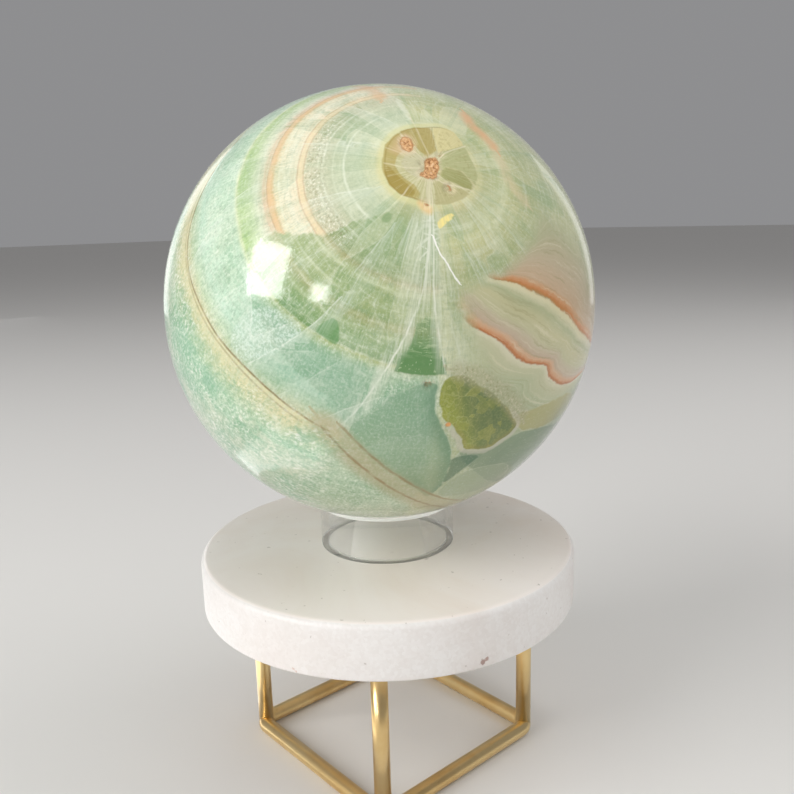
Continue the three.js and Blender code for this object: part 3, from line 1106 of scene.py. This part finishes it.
skin = layer(inside("pink haze", 3.0) * 0.45, "e6c4a0")
keep_patch("peach", [(-19, 9.3), (-7, 8.8), (5, 10.1), (3, 11.8), (-6, 11.5)])
skin = layer(inside("peach", 1.4) * 0.7, "f6d091")
# Painted highlight: a small bright yellow glint laid in as colour beside the eye.
keep_patch("glint", [(7, 14.9), (8, 13.1), (15, 12.1), (28, 11.7), (29, 12.6), (18, 13.6), (10, 15)])
skin = layer(inside("glint", 0.3, 0.8) * (0.7 + frayed * 0.3), "ffee9c")
tell("eye")

# %% [markdown]
# ## The druses
# Where the wedges meet, and here and there lower down, sit druses: tiny open clusters of rust-coloured
# crystals. They lie over the pits in the mesh, with a pale halo and light specks, and they are painted
# darker where their bumps sink, as painted shade in the hollows.

# %% Set the druses
DRUSES = [
    [
        (-145, 2.2), (-177, 2.9), (147, 3.8), (105, 2.3), (29, 3.3), (-4, 3.3), (-34, 3.3), (-43, 2.9),
        (-67, 1.2),
    ],
    [(-143, 10), (-154, 9.4), (-156, 7.6), (-147, 6.2), (-133, 5.2), (-125, 6), (-129, 8)],
    [(47, 5.1), (55, 6), (47, 7.4), (41, 7.1), (41, 6)],
    [(-8, 8.9), (1, 8.9), (1, 10), (-4, 9.9)],
    [(143, 4.4), (150, 4.4), (150, 5.1), (143, 5.1)],
    [(3.5, 47), (6, 47.1), (6.2, 48.2), (4, 48.2)],
]
for number, outline in enumerate(DRUSES):
    keep_patch(f"druse {number}", outline)
crystals = stone.noise(from_eye, 95, 3, 0.7)
druse_depth = depth("druse 0", 1.6)
for number in range(1, len(DRUSES)):
    druse_depth = druse_depth.math("MAXIMUM", druse_depth, depth(f"druse {number}", 1.6))
skin = layer(stone.fall(abs(druse_depth + 0.3), 0, 0.9) * frayed * 0.45, "f0dcc0")
druses = stone.rise(druse_depth + (crystals - 0.5) * 1.2, -0.1, 0.25)
# Painted shade: the rust colour is darkest where the crystal bumps are lowest, in the hollows.
druse_tone = stone.mix(stone.rise(crystals, 0.34, 0.54), tint("a06a3a"), tint("dfae78"))
druse_tone = stone.mix(stone.rise(grains, 0.52, 0.64) * 0.7, druse_tone, tint("ecc9a0"))
druse_tone = stone.mix(stone.fall(druse_depth, 0.2, 0.7) * 0.5, druse_tone, tint("a06a38"))
skin = stone.mix(druses, skin, druse_tone)
tell("druses")

# %% [markdown]
# ## Below the main ring
# Lower down, leaf-shaped facets overlap. A diagonal pair of brown lines in a beige band crosses the face
# and runs on to the left as a double line, with a cream glow above it.

# %% Colour the lower face
FACETS = {
    "mint leaf": ([
        (9, 46.5), (-3, 49), (-9, 56), (-15, 62), (-8, 67), (1, 73), (8, 80), (11, 84.5), (14, 77.1),
        (14, 70.9), (14, 65.5), (12, 61), (9, 56.9), (7, 52),
    ], "86a888", 0.6),
    "grey facet": ([
        (14, 65), (24, 69), (33, 66.9), (40, 70), (50, 78), (60, 90), (40, 96), (30, 88), (20, 74),
    ], "688468", 0.7),
    "dark facet": ([
        (14, 66.9), (23, 69.4), (20, 71.6), (16, 74.8), (11, 82.3), (13, 77.7), (14, 72.3),
    ], "4d7254", 0.85),
    "pale facet": ([
        (20, 73.6), (30, 76.6), (35, 84.1), (28, 90.2), (17, 86), (12, 82.7), (16, 76),
    ], "97a688", 0.7),
    "yellow facet": ([
        (31, 60.6), (36, 61.9), (43, 63.7), (56, 70.1), (60, 80), (50, 76), (39, 70.1), (34, 67.3),
        (32, 63.6),
    ], "b0a868", 0.7),
}
for name, (outline, colour, strength) in FACETS.items():
    keep_patch(name, outline)
    skin = layer(inside(name, 1.2, 1.6) * strength * (0.6 + clouds * 0.7), colour)
    skin = layer(stone.fall(abs(depth(name, 1.6)), 0.0, 0.3) * patchy * 0.22, "dfe4cc")
leaf_depth = depth("mint leaf", 1.4)
# Painted shade: the mint leaf darkens just inside its right edge, for a rounded look.
leaf_edge_shade = stone.rise(leaf_depth, -0.2, 0.3) * stone.fall(leaf_depth, 0.5, 4.5)
skin = layer(leaf_edge_shade * stone.rise(bearing, 0, 8) * 0.6, "5d8a68")
skin = layer(inside("mint leaf", 3) * stone.rise(distance, 64, 76) * 0.45, "8c9a70")
skin = layer(stone.rise(grains, 0.58, 0.7) * stone.rise(distance, 46, 60) * 0.16, "eef4e4")

# Darker towards the lower right edge: partly the stone's darker facets, partly painted shade on the side
# turned from the light.
low_right_facets_and_shade = stone.rise(bearing, 38, 50) * stone.rise(distance, 68, 76) * stone.fall(bearing, 84, 100)
skin = layer(low_right_facets_and_shade * 0.5, "6f8264")

DIAGONAL = [(-19, 63), (-10, 69), (-1, 75.7), (8, 83.7), (20, 96), (40, 112)]
keep_lines("beige band", [(DIAGONAL, 1)])
keep_lines("upper brown line", [([(b + 3, d - 2.0) for b, d in DIAGONAL], 0.7)])
keep_lines("lower brown line", [([(b - 0.5, d + 0.6) for b, d in DIAGONAL], 0.75)])
keep_lines("left double line", [
    ([(-18, 63.8), (-25, 63), (-33, 62), (-43, 61.3), (-54, 61.9), (-65, 62.1), (-76, 62.8),
      (-87, 62), (-101, 57.9), (-118, 54)], 0.9),
])
keep_lines("left second line", [
    ([(-101, 59.7), (-87, 63.6), (-65, 63.6), (-43, 62.8), (-25, 64.6)], 0.5),
])
glow = beside("left double line", 11, 1.0) * (0.45 + frayed * 0.5)
skin = layer(glow * stone.fall(bearing, -26, -18), "dcd5a8")
for name in ("left double line", "left second line"):
    skin = layer(lines(name, 0.2, 0.35, 0.25) * (0.4 + patchy * 0.6), "8c7b50")
skin = layer(lines("beige band", 3, 4, 1) * 0.65, "b5a881")
for name in ("upper brown line", "lower brown line"):
    skin = layer(lines(name, 0.2, 0.5, 0.9) * (0.35 + patchy * 0.65), "927a4c")
tell("lower face")

# %% [markdown]
# ## The moss-green patch
# A rounded patch on the lower right is moss green, with a yellow left side, small cells and grit. It has a
# pale rim, a speckled margin above it and one orange spot.

# %% Colour the moss-green patch
keep_patch("moss", [
    (9, 46.5), (13, 45.6), (17, 46.5), (21, 49.2), (25, 52.4), (29, 56.6), (31, 60.6), (33, 64.1),
    (31, 65.8), (28, 66.7), (24, 68.1), (21, 67.3), (17, 65.9), (16, 63.2), (14, 60), (13, 58.4),
    (10, 56.1), (9, 53.5), (8, 50.3),
])
moss_depth = depth("moss", 1.6)
moss_cells, moss_borders = cell_tones(warped, 16, 0.06)
moss = stone.mix(stone.rise(bearing - distance * 0.35, -9, 1), tint("a2aa48"), tint("667a4a"))
moss_tones = (
    (stone.rise(moss_cells, 0.3, 1) * 0.4, "b2b252"),
    (moss_borders * stone.fall(bearing, 14, 24) * 0.4, "c3c486"),
    (stone.rise(fibres, 0.46, 0.66) * 0.2, "b0ae66"),
    (stone.rise(clouds, 0.45, 0.62) * 0.35, "7d8a42"),
    (stone.rise(grit, 0.5, 0.66) * 0.18, "bcb878"),
    (stone.fall(grit, 0.34, 0.5) * 0.22, "5c6a3a"),
    (stone.fall(moss_depth, 0.2, 1.8) * stone.rise(distance, 54, 60) * 0.45, "978c4c"),
)
for where, tone in moss_tones:
    moss = stone.mix(where, moss, tint(tone))
pale_rim = stone.fall(abs(moss_depth + 0.5), 0.3, 1.2) * stone.rise(distance, 57, 60)
skin = layer(pale_rim * 0.6, "cbc6b4")
skin = stone.mix(stone.rise(moss_depth, -0.1, 0.4), skin, moss)
keep_lines("speckled margin", [([(14, 45), (21, 47.5), (24, 49.7), (29, 54.1), (32, 57.8), (34, 62)], 1)])
margin = lines("speckled margin", 1.6, 2.6, 1.0)
skin = layer(margin * 0.6, "b0ae8a")
skin = layer(margin * stone.rise(grains, 0.52, 0.66) * 0.45, "ddd4b4")
skin = layer(margin * stone.fall(grains, 0.32, 0.44) * 0.5, "858053")
keep_patch("orange spot", [(11, 57.3), (12.6, 57.4), (12.6, 58.5), (11.2, 58.4)])
skin = layer(inside("orange spot", 0.4, 0.3), "e8a866")
tell("moss")

# %% [markdown]
# ## Snowy flecks
# The lower left is milky: clouds of short white flecks lie in the mint green. Small stretched noise, kept
# to clouded places, gives them. Far from the eye, on the back, the pattern fades into a cloudy green.
# One short crack under the eye catches the light: its painted highlight, a near-white line, crosses the
# fibres above all the rest.

# %% Scatter the flecks
seen_left = stone.fall(bearing, -22, -8) * stone.rise(bearing + ragged * 60, -160, -115)
milky = stone.rise(distance, 62, 68) * seen_left
milky = milky + stone.rise(distance, 46, 50) * stone.fall(bearing, -12, 0) * seen_left * 0.25
combed = stone.node("VectorMath", {"operation": "MULTIPLY"}, [from_eye, (96, 30, 60)])
flecks = stone.noise(combed, 1, 3, 0.65)
drifts = stone.noise(warped, 3.2, 4, 0.6)
# Painted shade: the far lower left, near the outline, is laid a darker mint.
skin = layer(stone.rise(distance, 72, 92) * seen_left * 0.3, "7aa68a")
skin = layer(stone.fall(drifts, 0.34, 0.52) * milky * 0.5, "84b494")
skin = layer(stone.rise(drifts, 0.5, 0.66) * milky * 0.4, "e0e0c8")
skin = layer(stone.rise(flecks, 0.5, 0.66) * milky * stone.rise(clouds, 0.35, 0.6) * 0.6, "eef2e6")
skin = layer(stone.fall(flecks, 0.36, 0.5) * milky * 0.35, "7fae8c")
far_tones = stone.mix(stone.rise(drifts, 0.35, 0.65), tint("9fc09c"), tint("c6d2ac"))
far_tones = stone.mix(stone.rise(grains, 0.5, 0.68) * 0.3, far_tones, tint("eef2e2"))
skin = stone.mix(stone.rise(true_distance + ragged * 40, 128, 162), skin, far_tones)
# Painted highlight: a reflective crack under the eye, drawn as a near-white line.
keep_lines("bright line", [([(4, 16.5), (8, 20), (13, 22.5), (14, 24), (17, 26.5)], 0.95)])
skin = layer(lines("bright line", 0.15, 0.25, 1.2), "fffff6")
tell("flecks")

# %% [markdown]
# ## Polish
# The ball is polished, so its surface is smooth and glossy, a little less so over grit, grain and druses.
# Light that enters the stone leaves it again near the outline; a little sheen gives that pale edge.

# %% Finish the stone
rough_spots = granular * 0.5 + stone.rise(flecks, 0.55, 0.7) * milky * 0.3
dimples = stone.noise(from_eye, 70, 2, 0.6)
dull_specks = stone.rise(grit, 0.5, 0.62)
pimples = dimples * 0.5 + grains * (0.2 + rough_spots) + crystals * druses * 3
stone.set(
    Base_Color=skin,
    Roughness=0.045 + rough_spots * 0.1 + druses * 0.4 + fibres * 0.03 + dull_specks * 0.16,
    Normal=stone.bump(pimples, 0.00012, 0.35),
)
stone.shader.inputs["IOR"].default_value = 1.52
stone.shader.inputs["Sheen Weight"].default_value = 0.15
stone.shader.inputs["Sheen Roughness"].default_value = 0.35
sphere.data.materials.append(stone.material)
tell("polish")

# %% [markdown]
# ## The studio
# A pale, matt floor, a plain world and soft lamps. Some lamps are seen only in reflections: a tall panel to
# the camera's left gives the sphere its highlight and the rods their bright line, a small panel adds a
# second spot, and two strips stand further back. The others light the stone and the marble and stay out of
# the reflections. A bright card lies on the floor to the left of the frame, and only reflections show it.

# %% Light the scene
OBJECT_MIDDLE = Vector((0, 0, 0.13))
WORLD_COLOUR = (0.8, 0.8, 0.82, 1)
WORLD_STRENGTH = 0.34
FLOOR_SIZE = 12

MIRRORED_LAMPS = [  # name, place, size and power
    ("main panel", (-0.27, -1.74, 0.82), (0.66, 0.74), 21),
    ("small panel", (0.65, -1.7, 0.58), (0.28, 0.26), 3.4),
    ("left strip", (-1.95, 0.25, 0.4), (0.5, 1.2), 2.0),
    ("right strip", (-0.45, 1.9, 0.4), (0.35, 1.2), 0.9),
]
LIGHTING_LAMPS = [  # name, place, size and power
    ("key light", (-0.27, -1.6, 1.0), (1.2, 1.2), 24),
    ("fill", (1.5, -0.9, 0.5), (1.6, 1.6), 4),
    ("back light", (0.9, 1.1, 1.0), (1.2, 1.2), 6),
    ("overhead", (0.3, 0.2, 1.7), (1.6, 1.6), 9),
    ("low fill", (0.6, -0.8, 0.04), (0.7, 0.3), 1.0),
]


def lamp(name, spot, size, power, mirrored):
    """A soft rectangular lamp that faces the object, seen in reflections only or left out of them."""
    data = bpy.data.lights.new(name, "AREA")
    data.shape = "RECTANGLE"
    data.size, data.size_y = size
    data.energy = power
    made = bpy.data.objects.new(name, data)
    made.location = spot
    made.rotation_euler = (OBJECT_MIDDLE - Vector(spot)).to_track_quat("-Z", "Y").to_euler()
    made.visible_diffuse = not mirrored
    made.visible_glossy = mirrored
    bpy.context.collection.objects.link(made)
    return made


world = bpy.data.worlds.new("studio")
world.use_nodes = True
world.node_tree.nodes["Background"].inputs["Color"].default_value = WORLD_COLOUR
world.node_tree.nodes["Background"].inputs["Strength"].default_value = WORLD_STRENGTH
bpy.context.scene.world = world
bpy.context.scene.view_settings.view_transform = "Standard"

for details in MIRRORED_LAMPS:
    lamp(*details, mirrored=True)
for details in LIGHTING_LAMPS:
    lamp(*details, mirrored=False)

card = lamp("bright card", (-0.09, -0.09, 0.001), (0.26, 0.12), 0.11, mirrored=True)
card.rotation_euler = (math.pi, 0, math.radians(-45))
card.visible_camera = False

floor_shape = bmesh.new()
bmesh.ops.create_grid(floor_shape, x_segments=1, y_segments=1, size=FLOOR_SIZE)
floor_mesh = bpy.data.meshes.new("floor")
floor_shape.to_mesh(floor_mesh)
floor_shape.free()
floor = bpy.data.objects.new("floor", floor_mesh)
bpy.context.collection.objects.link(floor)
floor_paint = Paint("pale floor")
floor_paint.set(Base_Color=tint("e2e0dc"), Roughness=0.9)
floor_paint.shader.inputs["Specular IOR Level"].default_value = 0.1
floor.data.materials.append(floor_paint.material)
print(len(MIRRORED_LAMPS) + len(LIGHTING_LAMPS), "lamps, a card and a floor")
